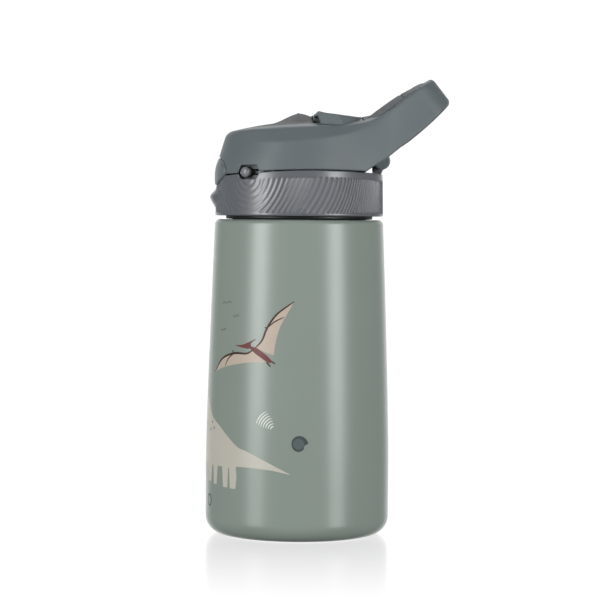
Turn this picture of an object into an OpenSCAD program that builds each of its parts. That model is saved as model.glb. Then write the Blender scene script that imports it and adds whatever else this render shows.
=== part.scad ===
// Insulated water bottle for children, with a screw-on lid, a flip-up spout under a
// hinged cover, a push button that frees the cover, a sliding lock and a carry loop.
// +Z is up. The origin is on the bottle's axis, on the face that it stands on.
// The push button is on the -X side and the hinge and carry loop are on the +X side.

/* [Bottle] */
// Outside radius of the straight lower wall
body_r = 36.1; // [35:0.1:37]
// Height of the top edge of the bottle's wall, where the shoulder turns in
shoulder_z = 123.4; // [110:0.2:140]
// Outside radius of the wall just below the shoulder
shoulder_r = 33.3; // [32.8:0.1:33.8]
// Radius of the rounded bottom edge
base_round = 7; // [4:0.5:8]
// Height where the wall stops being straight and starts to narrow
taper_z = 30; // [20:1:45]
// Sheet thickness of the outer shell
shell_wall = 0.6; // [0.5:0.05:0.9]
// Vacuum gap between the shell and the liner
vacuum_gap = 2.4; // [1.8:0.1:3]

/* [Lid] */
// Gap between the shoulder and the collar
collar_gap = 1.4; // [1:0.1:2]
// Outside radius of the collar at its foot
collar_r = 33; // [32.6:0.1:33.2]
// Pitch of the screw thread
thread_pitch = 4; // [3.6:0.1:4.4]
// Turns of the thread on the neck
thread_turns = 1.5; // [1:0.25:1.75]

/* [Cover and carry loop] */
// Angle of the carry loop above the horizontal
loop_angle = 38; // [36:0.5:40]
// Half width of the carry loop at its free end
loop_half_w = 18.5; // [17:0.5:20]
// Thickness of the loop's arms
loop_t = 5.2; // [4.6:0.1:5.6]
// Radius of the hinge pin
pin_r = 1.5; // [1.2:0.1:1.6]

/* [Button and lock] */
// Width of the oval push button
button_w = 31; // [24:0.5:32]
// Height of the oval push button
button_h = 10.8; // [9.5:0.1:11]
// Radius of the lock's round knob
knob_r = 2.45; // [2:0.05:2.5]
// Angle that the lock turns through
lock_travel = 7; // [5:0.5:7]

/* [Spout and straw] */
// Length of the spout from its pivot to its tip
spout_len = 25; // [22:0.5:26]
// Outside radius of the straw
straw_r = 3.2; // [2.8:0.1:3.4]

/* [Hidden] */
$fn = 96;
eps = 0.01;

// The lid is drawn with its collar's foot at z = 0 and lifted to lid_z
lid_z = shoulder_z + collar_gap;
// Bottle neck
neck_r = 25;
lip_z = lid_z + 10.4;
liner_wall = 0.5;
liner_floor_z = 7;
// Screw thread: how far the ridge stands out, and half its height at the root
ridge_h = 1.15;
ridge_half = 0.9;
// Threaded core
core_in_r = 26.4;
core_out_r = 28;
deck_r = 31.1;
deck_z = 12;
deck_top = 14.2;
// The parting line between collar and cover is an arc that crowns at x = crown_x
crown_x = 8;
crown_z = 17.4;
crown_r = 340;
parting_gap = 0.35;
collar_top_r = collar_r - 0.3;
collar_wall = 1.8;
// Hinge
hinge_x = 31.8;
hinge_z = 21.5;
barrel_r = 3.3;
lug_half = 9;
ear_half = 15;
hinge_gap = 0.3;
// Cover walls
cover_wall = 2;
liner_r = 28.8;
// Underside of the cover's roof, and the round window that the top panel fills
roof_z = 33;
window_r = 21;
window_top = 35.2;
// Push button
button_z = 17.2;
button_r = 33.2;
button_t = 1.6;
seat_gap = 0.35;
// Lock, as angles from the -X axis towards the -Y side
lock_z = 16.7;
lock_mid = 53.3;
lock_half = 9;
knob_angle = 50;
// Spout pivot
spout_x = 12;
spout_z = 24.5;
spout_rest = 2;
spout_barrel_r = 4.6;

// ---------------------------------------------------------------- helpers

// A smooth curve through pts (Catmull-Rom), with steps points for each stretch
function spline(pts, steps = 5) = [
  for (i = [0 : len(pts) - 2], k = [0 : steps - 1])
    let (p0 = pts[max(i - 1, 0)], p1 = pts[i], p2 = pts[i + 1],
         p3 = pts[min(i + 2, len(pts) - 1)], t = k / steps)
      0.5 * (2 * p1 + (p2 - p0) * t + (2 * p0 - 5 * p1 + 4 * p2 - p3) * t * t
             + (3 * p1 - p0 - 3 * p2 + p3) * t * t * t),
  pts[len(pts) - 1]
];

// Points on an arc
function arc(cx, cy, r, a0, a1, steps = 6) = [
  for (k = [0 : steps]) let (a = a0 + (a1 - a0) * k / steps) [cx + r * cos(a), cy + r * sin(a)]
];

// Outside radius of the tapering wall at height z
function wall_r(z) =
  body_r - (body_r - shoulder_r) * pow(max(z - taper_z, 0) / (shoulder_z - 5 - taper_z), 1.25);

// An outline in the X-Z plane, as thick as 2 * half along Y
module across(half) {
  rotate([90, 0, 0]) linear_extrude(2 * half, center = true) children();
}

// A cylinder along Y
module axle(r, half, x = 0, z = 0) {
  translate([x, 0, z]) rotate([90, 0, 0]) cylinder(r = r, h = 2 * half, center = true);
}

// A block of a ring around the Z axis, between two angles from -X towards -Y
module ring_block(r0, r1, z0, z1, a0, a1) {
  rotate([0, 0, 180 + a0]) translate([0, 0, z0])
    rotate_extrude(angle = a1 - a0) translate([r0, 0]) square([r1 - r0, z1 - z0]);
}

// Everything under the parting line; shift moves the line up
module under_parting(shift = 0) {
  axle(crown_r + shift, 60, crown_x, crown_z - crown_r);
}

// The oval of the push button, grown by gap, from x0 to x1
module oval(gap, x0, x1) {
  steps = 40;
  w = button_w / 2 + gap;
  h = button_h / 2 + gap;
  translate([x0, 0, button_z]) rotate([90, 0, 90]) linear_extrude(x1 - x0)
    polygon([for (k = [0 : steps - 1]) let (a = 360 * k / steps) [w * cos(a), h * sin(a)]]);
}

// The six-sided window that the lock's knob moves in
module lock_window() {
  half = 32 * sin(lock_half);
  tall = 2.65;
  rotate([0, 0, 180 + lock_mid]) translate([26, 0, lock_z]) rotate([90, 0, 90])
    linear_extrude(10) polygon([
      [-half, 0], [-half + 1.4, -tall], [half - 1.4, -tall],
      [half, 0], [half - 1.4, tall], [-half + 1.4, tall]
    ]);
}

// A screw ridge on radius r; out = 1 stands outwards and out = -1 inwards
module ridge(r, z0, turns, out) {
  steps = 40 * turns;
  ring = function(k)
    let (a = 360 * turns * k / steps,
         z = z0 + thread_pitch * a / 360,
         fade = min(1, min(k, steps - k) / 5 + 0.15),
         root = ridge_half,
         tip = 0.35,
         rt = r + out * ridge_h * fade)
      [for (p = [[r, -root], [rt, -tip], [rt, tip], [r, root]])
        [p[0] * cos(a), p[0] * sin(a), z + p[1]]];
  pts = [for (k = [0 : steps]) each ring(k)];
  sides = [for (k = [0 : steps - 1], j = [0 : 3])
    let (a = 4 * k + j, b = 4 * k + (j + 1) % 4)
      out > 0 ? [a, a + 4, b + 4, b] : [a, b, b + 4, a + 4]];
  caps = out > 0
    ? [[0, 1, 2, 3], [for (j = [3 : -1 : 0]) 4 * steps + j]]
    : [[3, 2, 1, 0], [for (j = [0 : 3]) 4 * steps + j]];
  polyhedron(pts, concat(sides, caps), convexity = 6);
}

// A coil spring along +X: turns of wire at radius r, stretched over a length
module coil(turns, r, wire, length) {
  steps = 14 * turns;
  sides = 8;
  pts = [for (k = [0 : steps], j = [0 : sides - 1])
    let (a = 360 * turns * k / steps, b = 360 * j / sides, rr = r + wire * cos(b))
      [length * k / steps + wire * sin(b), rr * cos(a), rr * sin(a)]];
  skin = [for (k = [0 : steps - 1], j = [0 : sides - 1])
    let (a = sides * k + j, b = sides * k + (j + 1) % sides) [a, b, b + sides, a + sides]];
  caps = [[for (j = [sides - 1 : -1 : 0]) j], [for (j = [0 : sides - 1]) sides * steps + j]];
  polyhedron(pts, concat(skin, caps), convexity = 8);
}

// ---------------------------------------------------------------- bottle

// Steel outer shell: rounded foot, tapering wall, turned-in shoulder and neck
module outer_shell() {
  foot_r = body_r - base_round;
  wall = [for (k = [0 : 10]) let (z = taper_z + (shoulder_z - 2.2 - taper_z) * k / 10) [wall_r(z), z]];
  edge_r = wall_r(shoulder_z - 2.2);
  outside = concat(
    arc(foot_r, base_round, base_round, -90, 0, 8),
    wall,
    arc(edge_r - 2, shoulder_z - 2, 2, 15, 80, 4),
    [[neck_r + 2, shoulder_z - 0.4], [neck_r, shoulder_z + 0.6], [neck_r, lip_z]]
  );
  t = shell_wall;
  inside = concat(
    [[neck_r - t, lip_z], [neck_r - t, shoulder_z + 0.6 - t], [neck_r + 2, shoulder_z - 0.4 - 1.6 * t],
     [edge_r - 2, shoulder_z - 0.2 - 1.4 * t]],
    [for (k = [10 : -1 : 0]) wall[k] - [t, 0.3]],
    arc(foot_r, base_round, base_round - t, 0, -90, 8)
  );
  color("darkseagreen") rotate_extrude($fn = 180) polygon(concat(outside, inside));
}

// Rolled screw ridge on the neck
module neck_thread() {
  // The ridge's flat facets stay just clear of the round neck
  color("silver") ridge(neck_r / cos(180 / 40), lid_z + 1.4, thread_turns, 1);
}

// Steel inner liner that holds the drink, welded to the shell at the lip
module inner_liner() {
  in = shell_wall + vacuum_gap;
  t = liner_wall;
  rn = neck_r - shell_wall;
  corner = 8;
  low_r = body_r - in;
  wall = [for (k = [0 : 6]) let (z = taper_z + (shoulder_z - 9 - taper_z) * k / 6) [wall_r(z) - in, z]];
  outside = concat(
    [[0, liner_floor_z - t]],
    arc(low_r - corner, liner_floor_z - t + corner, corner, -90, 0, 6),
    wall,
    [[rn + 1.6, shoulder_z - 3], [rn, shoulder_z - 1.4], [rn, lip_z]]
  );
  inside = concat(
    [[rn - t, lip_z], [rn - t, shoulder_z - 1.4 - t], [rn + 1.6 - t, shoulder_z - 3 - t]],
    [for (k = [6 : -1 : 0]) wall[k] - [t, 0.3]],
    arc(low_r - corner, liner_floor_z - t + corner, corner - t, 0, -90, 6),
    [[0, liner_floor_z]]
  );
  color("silver") rotate_extrude($fn = 180) polygon(concat(outside, inside));
}

// Steel disc that closes the foot of the shell
module base_plate() {
  r = body_r - base_round;
  color("silver") rotate_extrude($fn = 180) polygon([
    [0, 0], [r - eps, 0], [r - eps, shell_wall], [r - 3, shell_wall], [r - 4, 1.6], [0, 1.6]
  ]);
}

// Pellet that keeps the vacuum, held under the liner's floor
module getter() {
  color("dimgray") translate([0, 0, liner_floor_z - liner_wall - 1.5]) cylinder(r = 5, h = 1.5);
}

// ---------------------------------------------------------------- lid base

// Silicone ring between the bottle's lip and the lid
module neck_gasket() {
  color("gainsboro") translate([0, 0, lip_z]) rotate_extrude($fn = 128)
    polygon([[22.4, 0], [25.6, 0], [25.6, deck_z - 10.4 - 0.05], [22.4, deck_z - 10.4 - 0.05]]);
}

// Grip ring around the lid, with a thumb ledge and the lug of the hinge
module collar() {
  ledge = [[-31.5, 2.6], [-33.2, 3.4], [-34.3, 5.2], [-35.2, 6.9], [-35, 7.7], [-33.6, 9.6], [-32.4, 11], [-31.5, 11]];
  foot = deck_top + 0.05;
  lug = [[29.4, foot], [29.4, 23], [31.8, 23], [32.6, 18.6], [32.2, 16], [32.2, foot]];
  color("slategray") translate([0, 0, lid_z]) difference() {
    union() {
      intersection() {
        union() {
          rotate_extrude($fn = 180) polygon([
            [core_out_r + 0.1, 0], [collar_r - 0.6, 0], [collar_r, 0.6], [collar_top_r, 19],
            [collar_top_r - collar_wall, 19], [collar_r - collar_wall, 1.6], [core_out_r + 0.1, 1.6]
          ]);
          intersection() {
            across(12.5) polygon(ledge);
            translate([-17.5, 0, 0]) cylinder(r = 17.8, h = 20);
            difference() {
              cylinder(r = 40, h = 20);
              translate([0, 0, -1]) cylinder(r = collar_r - collar_wall, h = 22);
            }
          }
        }
        under_parting();
      }
      across(lug_half) polygon(lug);
      axle(barrel_r, lug_half, hinge_x, hinge_z);
    }
    oval(seat_gap, -40, -24);
    lock_window();
    axle(pin_r, 20, hinge_x, hinge_z);
    axle(barrel_r + 1, 3, hinge_x, hinge_z);
  }
}

// Inner core: the sleeve that screws onto the neck, the deck and the spring's stop
module thread_core() {
  color("#26282b") translate([0, 0, lid_z]) difference() {
    union() {
      rotate_extrude($fn = 180) polygon([
        [0, deck_z], [core_in_r, deck_z], [core_in_r, -1.3], [core_out_r - 0.4, -1.3],
        [core_out_r, -0.9], [core_out_r, deck_z], [deck_r - 0.2, deck_z], [deck_r - 0.2, deck_top], [0, deck_top]
      ]);
      translate([-18, -4, deck_top - eps]) cube([2, 8, 5.2]);
    }
    oval(seat_gap, -40, -27);
    translate([spout_x, 0, deck_z - 1]) cylinder(r = straw_r + 0.9, h = 4);
    translate([0, -15, deck_z - 1]) cylinder(r = 2.2, h = 4);
  }
}

// Screw ridge inside the sleeve
module core_thread() {
  color("#26282b") ridge(core_in_r, lid_z + 1.4 + thread_pitch / 2, thread_turns, -1);
}

// Steel pin of the hinge
module hinge_pin() {
  color("silver") translate([0, 0, lid_z]) axle(pin_r, ear_half - 0.2, hinge_x, hinge_z);
}

// Block on the deck that carries the spout on two ears and holds the straw
module spout_socket() {
  color("lightslategray") translate([0, 0, lid_z]) difference() {
    union() {
      translate([spout_x - 7, -8.6, deck_top]) cube([14, 17.2, 5.4]);
      for (s = [-1, 1]) translate([spout_x - 3.2, s * 7.35 - 1.25, deck_top]) cube([6.4, 2.5, spout_z - deck_top]);
      for (s = [-1, 1]) translate([0, s * 7.35, 0]) axle(3.2, 1.25, spout_x, spout_z);
      translate([spout_x, 0, deck_z - 7]) cylinder(r = straw_r + 0.8, h = deck_top - deck_z + 7);
    }
    axle(spout_barrel_r + 0.25, 6.05, spout_x, spout_z);
    axle(1.65, 10, spout_x, spout_z);
    translate([spout_x, 0, deck_z - 8]) cylinder(r = straw_r, h = 8.5);
    translate([spout_x, 0, deck_z - 8]) cylinder(r = straw_r - 0.8, h = 20);
  }
}

// Drinking straw, pushed into the socket
module straw() {
  top = lid_z + deck_z + 0.5;
  low = liner_floor_z + 3.5;
  color("whitesmoke") translate([spout_x, 0, low]) difference() {
    cylinder(r = straw_r, h = top - low);
    translate([0, 0, -1]) cylinder(r = straw_r - 0.8, h = top - low + 2);
    translate([-10, -0.6, -1]) cube([20, 1.2, 5]);
  }
}

// Small silicone valve that lets air in
module vent_valve() {
  color("gainsboro") translate([0, -15, lid_z]) difference() {
    union() {
      translate([0, 0, deck_top]) cylinder(r = 3.4, h = 0.9);
      translate([0, 0, deck_z - 1]) cylinder(r = 2.2, h = deck_top - deck_z + 1);
      translate([0, 0, deck_z - 1]) cylinder(r = 3, h = 1);
    }
    translate([0, 0, deck_z - 2]) cylinder(r = 1.2, h = 4.4);
  }
}

// Dark floor behind the lock's window, with the slot that the lock slides in
module lock_plate() {
  color("#1d1f22") translate([0, 0, lid_z]) difference() {
    ring_block(29.15, 30.2, deck_top, 19.2, lock_mid - lock_half - 1, lock_mid + lock_half + 1);
    ring_block(28, 32, 15.5, 17.9, knob_angle - 3.2, knob_angle + lock_travel + 3.2);
  }
}

// Coil spring behind the button
module button_spring() {
  color("silver") translate([-25.2, 0, lid_z + 17.3]) coil(5, 1.8, 0.35, 6.8);
}

// ---------------------------------------------------------------- moving controls

// Oval push button with the frame and bar that hold the cover's hook
module push_button() {
  color("slategray") translate([0, 0, lid_z]) {
    intersection() {
      oval(0, -40, -20);
      rotate_extrude($fn = 180) polygon([
        [button_r - button_t, 10], [button_r, 10], [button_r + 0.1, 15], [button_r - 0.1, 18.5], [button_r - 0.8, 24],
        [button_r - button_t - 0.8, 24]
      ]);
    }
    for (s = [-1, 1]) translate([-31.2, s * 6 - 0.8, 16.5]) cube([31.2 - 25.6, 1.6, 1.8]);
    translate([-27.4, -6.8, 16.5]) cube([1.8, 13.6, 1.8]);
  }
}

// Lock: round knob outside, blade inside that turns under the cover's catch
module lock_slider() {
  color("lightslategray") translate([0, 0, lid_z]) {
    rotate([0, 0, 180 + knob_angle]) translate([0, 0, lock_z]) rotate([0, 90, 0]) {
      translate([0, 0, 30.5]) cylinder(r = knob_r, h = 2.9);
      translate([0, 0, 28.2]) cylinder(r = 1, h = 3);
    }
    ring_block(27.5, 28.7, 14.6, 18.4, knob_angle - 5, knob_angle + 5.5);
    ring_block(27.7, 28.5, 16, 17.2, knob_angle + 4, knob_angle + 10.2);
  }
}

// ---------------------------------------------------------------- spout

// The children are drawn along +X from the pivot and laid down towards the front
module along_spout() {
  translate([spout_x, 0, lid_z + spout_z]) rotate([0, 180 + spout_rest, 0]) children();
}

// Stiff arm of the spout: a barrel on two trunnions and a hollow nozzle
module spout_arm() {
  color("lightslategray") along_spout() difference() {
    union() {
      axle(spout_barrel_r, 5.8);
      axle(1.6, 8.4);
      rotate([0, 90, 0]) cylinder(r = 3.3, h = 14);
    }
    rotate([0, 90, 0]) cylinder(r = 2, h = 16);
  }
}

// Soft bite tip pushed over the nozzle
module bite_tip() {
  start = 6.5;
  color("whitesmoke") along_spout() rotate([0, 90, 0]) difference() {
    rotate_extrude() polygon([
      [3.3, start], [4.3, start], [4.5, start + 1.2], [4.1, start + 5], [4.1, spout_len - 4],
      [4.5, spout_len - 2.2], [4.2, spout_len - 0.6], [3.4, spout_len], [1.1, spout_len], [1.1, 15], [3.3, 14]
    ]);
    translate([-0.2, -3, spout_len - 2]) cube([0.4, 6, 4]);
  }
}

// ---------------------------------------------------------------- cover

// Places the children in the carry loop's own frame: +X along the loop, +Z out of it
module loop_frame() {
  translate([30, 0, 30]) rotate([0, -loop_angle, 0]) children();
}

// Outline of the carry loop seen along its thickness, inset by gap
module loop_outline(gap, start) {
  end = 31.9 - gap;
  w = loop_half_w - gap;
  wide = 25 - gap;
  r = 9 - gap * 0.7;
  polygon(concat(
    [[start, -wide]],
    arc(end - r, -w + r, r, -82, 0, 8),
    arc(end - r, w - r, r, 0, 82, 8),
    [[start, wide]]
  ));
}

// The loop's outer outline as a solid bar through the cover's rear
module loop_block(gap, start) {
  loop_frame() translate([0, 0, -30]) linear_extrude(60) loop_outline(gap, start);
}

// Side outline of the cover's shell, from the front edge over the top to the loop
module side_outline() {
  top = spline([[-27.7, 33.1], [-20, 34.9], [-6, 35.4], [10, 35.4], [22, 36.3], [30.5, 38], [41.5, 44.9], [50.2, 52.2]], 4);
  under = spline([[57.9, 43.9], [48.3, 34.4], [40.5, 28], [34.1, 22.8], [28.4, 19.2], [24, 16]], 4);
  polygon(concat(
    [[-33.2, 10], [-33.2, 21], [-30.8, 30]],
    top,
    [[51.3, 54.3], [52.8, 53.9], [58.3, 45.3]],
    under,
    [[20, 10]]
  ));
}

// Raised hood across the rear half of the cover's top, hollow under its front edge
module hood() {
  outline = [[8.5, roof_z], [6.9, 40.4], [16, 39], [26, 38.1], [30, 38.2], [30, roof_z]];
  hollow = [[0, window_top], [0, 39.2], [9, 38.7], [14, 37.6], [14, window_top]];
  difference() {
    intersection() {
      across(40) polygon(outline);
      rotate_extrude($fn = 180) polygon([[0, roof_z], [27.9, roof_z], [25.9, 42], [0, 42]]);
    }
    across(21) polygon(hollow);
  }
}

// Room in the cover's top for the mound, grown by gap
module mound_bay(gap) {
  translate([-14 - gap, -12 - gap, roof_z + 1]) cube([19 + 2 * gap, 24 + 2 * gap, 12]);
}

// Outer cover: domed shell that carries on into the loop
module cover_shell() {
  color("slategray") translate([0, 0, lid_z]) difference() {
    union() {
      difference() {
        intersection() {
          across(40) side_outline();
          union() {
            rotate_extrude($fn = 180) polygon([
              [0, 10], [collar_top_r, 10], [collar_top_r, 18], [32.3, 20.9], [29.2, 31.1], [27.9, 33.1], [27, 60], [0, 60]
            ]);
            intersection() {
              loop_block(0, -30);
              translate([12, -40, 10]) cube([60, 80, 60]);
            }
          }
        }
        rotate_extrude($fn = 180) polygon([
          [0, 5], [collar_top_r - cover_wall, 5], [collar_top_r - cover_wall, 18], [30.2, 20.9], [27.3, 31.1], [26.6, roof_z], [0, roof_z]
        ]);
        loop_block(loop_t, 5.5);
      }
      hood();
      for (s = [-1, 1]) translate([0, s * (lug_half + ear_half + hinge_gap) / 2, 0])
        axle(barrel_r, (ear_half - lug_half - hinge_gap) / 2, hinge_x, hinge_z);
    }
    under_parting(parting_gap);
    cylinder(r = window_r, h = window_top);
    mound_bay(0.1);
    oval(seat_gap, -40, -24);
    lock_window();
    axle(barrel_r + 0.4, lug_half + hinge_gap, hinge_x, hinge_z);
    translate([26, -lug_half - hinge_gap, 10]) cube([hinge_x + 1 - 26, 2 * (lug_half + hinge_gap), hinge_z - 10]);
    axle(pin_r + 0.05, 20, hinge_x, hinge_z);
  }
}

// Panel let into the top of the cover, with a mound over the spout
module top_insert() {
  color("#6b7679") translate([0, 0, lid_z]) {
    translate([0, 0, roof_z + 0.05]) cylinder(r = window_r - 0.1, h = window_top - roof_z - 0.1);
    intersection() {
      translate([-2.5, 0, 22.4]) sphere(r = 18.4, $fn = 72);
      mound_bay(0);
    }
  }
}

// Soft lining of the inside of the carry loop, proud of the shell's edge
module grip_insert() {
  outer = loop_t + 0.05;
  inner = loop_t + 1.6;
  crest = spline([[29, 41.2], [37.1, 46.8], [46.6, 52.5], [51.2, 54.4]], 4);
  color("#74787a") translate([0, 0, lid_z]) intersection() {
    difference() {
      loop_block(outer, 5.5);
      loop_block(inner, 5.5);
    }
    across(40) polygon(concat(crest, [[54, 52], [55, 46], [46.2, 36.5], [40, 31.5], [34, 34], [30, 38]]));
  }
}

// Inner liner of the cover, with the hook for the button and the catch for the lock
module cover_liner() {
  t = 1.2;
  color("lightslategray") translate([0, 0, lid_z]) difference() {
    union() {
      rotate_extrude($fn = 180) polygon([
        [liner_r, 19.2], [27.1, 31], [26.2, 32.95], [0, 32.95], [0, 32.95 - t], [25.6, 32.95 - t], [27.1 - t, 30.6],
        [liner_r - t, 19.2]
      ]);
      translate([-29.1, -3.5, 14.8]) cube([1.4, 7, 9]);
      translate([-29.1, -3.5, 14.8]) cube([2.5, 7, 1.4]);
      difference() {
        ring_block(27.1, 28.7, 14.6, 19.8, lock_mid + 10.6, lock_mid + 16);
        ring_block(26, 30, 15.7, 17.5, lock_mid + 10, lock_mid + 14.6);
      }
    }
    translate([24, -lug_half - hinge_gap, 10]) cube([10, 2 * (lug_half + hinge_gap), 15.5]);
  }
}

// Silicone pad on the liner's roof that closes the spout's tip
module tip_seal() {
  x = spout_x - spout_len + 1;
  color("gainsboro") translate([x, 0, lid_z + 30.2]) cylinder(r = 6, h = 1.5);
}

// Spring around the hinge pin that throws the cover open
module hinge_spring() {
  color("silver") translate([hinge_x, -2.4, lid_z + hinge_z]) rotate([0, 0, 90]) coil(5, 2.2, 0.4, 4.8);
}

outer_shell();
neck_thread();
inner_liner();
base_plate();
getter();
neck_gasket();
collar();
thread_core();
core_thread();
hinge_pin();
spout_socket();
straw();
vent_valve();
lock_plate();
button_spring();
push_button();
lock_slider();
spout_arm();
bite_tip();
cover_shell();
top_insert();
grip_insert();
cover_liner();
tip_seal();
hinge_spring();
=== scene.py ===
"""Looks for a children's vacuum bottle with a hinged lid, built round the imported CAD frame.

Shapes are worked out in millimetres. The bottle's own height starts at the floor. The lid's shapes
use a height that starts at the foot of its grip ring, and LID_Z lifts them into place.
-X is the front with the button, +X the hinge and the carry loop, -Y the side that faces the camera.
"""
import math

import bmesh
import bpy
import numpy as np
from mathutils import Matrix, Vector


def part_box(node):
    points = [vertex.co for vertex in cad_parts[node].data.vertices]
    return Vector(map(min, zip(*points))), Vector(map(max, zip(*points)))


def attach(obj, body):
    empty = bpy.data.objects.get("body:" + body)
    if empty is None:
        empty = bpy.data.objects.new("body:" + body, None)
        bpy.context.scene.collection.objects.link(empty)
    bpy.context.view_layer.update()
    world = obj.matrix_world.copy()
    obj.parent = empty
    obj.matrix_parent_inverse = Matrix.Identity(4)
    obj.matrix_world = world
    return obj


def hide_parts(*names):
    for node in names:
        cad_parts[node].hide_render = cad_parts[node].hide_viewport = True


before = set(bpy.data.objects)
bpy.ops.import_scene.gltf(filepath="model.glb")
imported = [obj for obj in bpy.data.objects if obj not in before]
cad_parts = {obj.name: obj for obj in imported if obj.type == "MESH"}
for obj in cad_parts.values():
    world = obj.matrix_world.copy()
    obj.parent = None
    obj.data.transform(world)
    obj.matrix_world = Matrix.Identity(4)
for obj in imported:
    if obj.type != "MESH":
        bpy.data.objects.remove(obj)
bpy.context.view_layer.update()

MM = 0.001
LID_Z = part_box("collar")[0].z / MM
FINE = 1.0

# Bottle
BODY_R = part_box("outer_shell")[1].x / MM - 0.06
BODY_TOP = LID_Z - 1.4
FOOT_ROUND = 7.0
TAPER_Z = 30.0
TAPER_END_Z = BODY_TOP - 5
TAPER = 2.8
TAPER_POWER = 1.25
SHELL_T = 0.6
SHOULDER_R = 27.0
SHOULDER_ROUND = 2.0
NECK_R = 24.9
NECK_T = 0.5
NECK_H = 10.4

# Print: thickness, how deep it starts in the wall, and how far each layer stands over the last
PRINT_T = 0.05
PRINT_SINK = 0.03
LAYER_STEP = 0.01
CUT_ACROSS = 0.8
CUT_UP = 4.0

# Lid
COLLAR_R = 33.0
LID_R = 32.7
WALL = 2.0
COLLAR_WALL = 1.8
PARTING_X = 8.0
PARTING_Z = 17.4
PARTING_R = 340.0
PARTING_GAP = 0.35
SPLIT_GAP = 0.06
HINGE_X = 31.8
HINGE_Z = 21.5
BARREL_R = 3.3
BARREL_GAP = 0.4
LUG_HALF = 9.0
LUG_GAP = 0.3
EAR_HALF = 15.0
PIN_HOLE_R = 1.55
PIN_CAP = 1.2
NOSE_X = -17.5

# The cover's wall leans in above CONE_Z: least at the sides, most above their crease
CONE_Z = 19.5
FRONT_LEAN = 0.305
SIDE_LEAN = 0.13
CREASE_LEAN = 0.6

# The cover's top: its height at the front edge, its rise to the rear and its crown
TOP_Z = 32.75
TOP_FRONT_X = -27.7
TOP_SLOPE = 0.055
TOP_R = 27.5
CROWN_H = 2.85
TOP_T = 1.4
ROOF_Z = 33.0
PANEL_R = 21.0
PANEL_END_X = 5.2
PANEL_FOOT_Z = 34.0
MOUND_H = 3.2
MOUND_HALF = 14.5
RIDGE_X = -0.8
RIDGE_H = 0.3
LIP_X = 6.9
LIP_Z = 40.4

# Button and lock
BUTTON_Z = 17.2
BUTTON_HALF_W = 15.5
BUTTON_HALF_H = 5.4
BUTTON_R = 33.2
BUTTON_T = 1.6
SEAT_GAP = 0.35
LOCK_Z = 16.7
LOCK_MID = math.radians(52.7)
WINDOW_R = 32.5
WINDOW_HALF_W = 5.2
WINDOW_HALF_H = 2.65
KNOB_ANGLE = math.radians(50)
KNOB_R = 2.1

# Carry loop, in its own frame: u along it, w out of it
LOOP_ANGLE = math.radians(38)
LOOP_ORIGIN = 30.0
LOOP_T = 5.2
LOOP_HALF = 21.3
LOOP_TAPER = 0.1229
LOOP_END = 31.6
LOOP_FILLET = 3.0
EDGE_W = 5.55
CREST_W = 8.95
UNDER_W = -8.3
HOLE_START = 5.5
LINING_T = 1.4
SEAM_X = 38.6
SEAM_Z = 47.0
SEAM_HALF = 0.15
SEAM_DEPTH = 0.7


# ------------------------------------------------------------------ fields

def ease(low, high, value):
    """0 below low, 1 above high and smooth between them."""
    t = np.clip((value - low) / (high - low), 0, 1)
    return t * t * (3 - 2 * t)


def soft_step(value, width):
    """0 below zero and value above it, with a bend of that width."""
    return width * np.logaddexp(0, value / width)


def both(a, b, r=0.0):
    """The overlap of two fields, with its outer edge rounded to r."""
    if not np.any(r):
        return np.maximum(a, b)
    return np.minimum(-r, np.maximum(a, b)) + np.hypot(np.maximum(r + a, 0), np.maximum(r + b, 0))


def either(a, b, r=0.0):
    """The union of two fields, with its inner corner filled to r."""
    if not np.any(r):
        return np.minimum(a, b)
    return np.maximum(r, np.minimum(a, b)) - np.hypot(np.maximum(r - a, 0), np.maximum(r - b, 0))


def around(x, y):
    """Distance from the axis, and the angle from the front (-X) towards the camera side (-Y)."""
    return np.hypot(x, y), np.arctan2(-y, -x)


def block(x, y, z, low, high):
    """Field of a box between two corners."""
    sides = [np.maximum(a - v, v - b) for v, a, b in zip((x, y, z), low, high)]
    return np.maximum(np.maximum(sides[0], sides[1]), sides[2])


def axle(x, y, z, r, half):
    """Field of a cylinder round the hinge's axis."""
    return both(np.hypot(x - HINGE_X, z - HINGE_Z) - r, np.abs(y) - half, 0.4)


# ------------------------------------------------------------------ meshes

CORNERS = [(i, j, k) for i in (0, 1) for j in (0, 1) for k in (0, 1)]


def crossings(values, cells):
    """Mean place, inside each cell, of the points where its edges cross zero."""
    total = np.zeros((len(cells), 3))
    hits = np.zeros(len(cells))
    for axis in range(3):
        unit = np.eye(3, dtype=int)[axis]
        for corner in CORNERS:
            if corner[axis]:
                continue
            a = values[tuple((cells + corner).T)]
            b = values[tuple((cells + corner + unit).T)]
            cross = (a < 0) != (b < 0)
            share = np.where(cross, a / np.where(cross, a - b, 1), 0)
            total += np.where(cross[:, None], corner + share[:, None] * unit, 0)
            hits += cross
    return total / hits[:, None]


def net_faces(inside, index):
    """One quad for each grid edge that crosses the surface, facing outwards."""
    faces = []
    for axis in range(3):
        unit, side_b, side_c = (np.eye(3, dtype=int)[(axis + n) % 3] for n in range(3))
        low = [slice(None)] * 3
        high = [slice(None)] * 3
        low[axis] = slice(0, -1)
        high[axis] = slice(1, None)
        change = inside[tuple(low)] != inside[tuple(high)]
        at = np.argwhere(change)
        outward = inside[tuple(at.T)]
        ring = [at, at - side_b, at - side_b - side_c, at - side_c]
        quads = np.stack([index[tuple(p.T)] for p in ring], 1)
        faces.append(np.where(outward[:, None], quads, quads[:, ::-1]))
    return np.concatenate(faces)


def slope(field, points, reach=0.02):
    """Gradient of the field at the points."""
    columns = []
    for axis in range(3):
        step = np.eye(3)[axis] * reach
        ahead = field(*(points + step).T)
        behind = field(*(points - step).T)
        columns.append((ahead - behind) / (2 * reach))
    return np.stack(columns, 1)


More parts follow.
